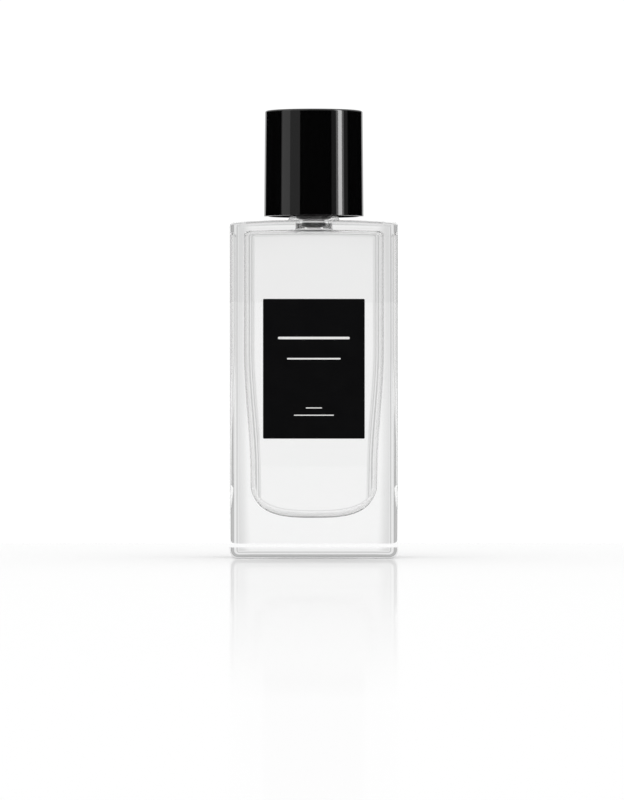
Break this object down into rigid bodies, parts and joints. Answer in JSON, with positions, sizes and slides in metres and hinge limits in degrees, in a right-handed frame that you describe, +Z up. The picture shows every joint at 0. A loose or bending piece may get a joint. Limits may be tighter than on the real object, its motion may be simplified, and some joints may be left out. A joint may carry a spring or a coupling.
{
  "type": "aftershave bottle",
  "caption": "Clear heavy-based glass splash bottle with square shoulders, black front label, pouring plug and tall black screw cap.",
  "frame": {"origin": "middle of the base, on the surface that the bottle stands on", "axes": "+Z up along the neck and the cap, -Y out of the labelled front, +X to the right as seen from the front"},
  "size_m": [0.054, 0.0341, 0.1443],
  "materials": {
    "clear_glass": "clear polished flint glass",
    "liquid": "clear, nearly colourless liquid",
    "plug_plastic": "satin moulded polyethylene",
    "cap_gloss": "high-gloss moulded plastic",
    "insert_plastic": "satin moulded polypropylene",
    "wad_foam": "closed-cell foam",
    "label_paper": "black satin varnished paper"
  },
  "bodies": {
    "bottle": {"glass_bottle": "clear_glass", "aftershave_liquid": "liquid", "orifice_reducer": "plug_plastic", "front_label": "label_paper"},
    "wad": {"cap_liner": "wad_foam"},
    "cap": {"cap_shell": "cap_gloss", "cap_insert": "insert_plastic"}
  },
  "joints": [
    {"name": "cap_lift", "type": "slide", "parent": "bottle", "child": "wad", "axis": [0, 0, 1], "range_m": [0, 0.01429]},
    {"name": "cap_turn", "type": "hinge", "parent": "wad", "child": "cap", "pos_m": [0, 0, 0.1101], "axis": [0, 0, 1], "range_deg": [0, 1620]}
  ],
  "couplings": [
    {"joint": "cap_lift", "follows": "cap_turn", "m_per_rad": 0.00050532}
  ]
}
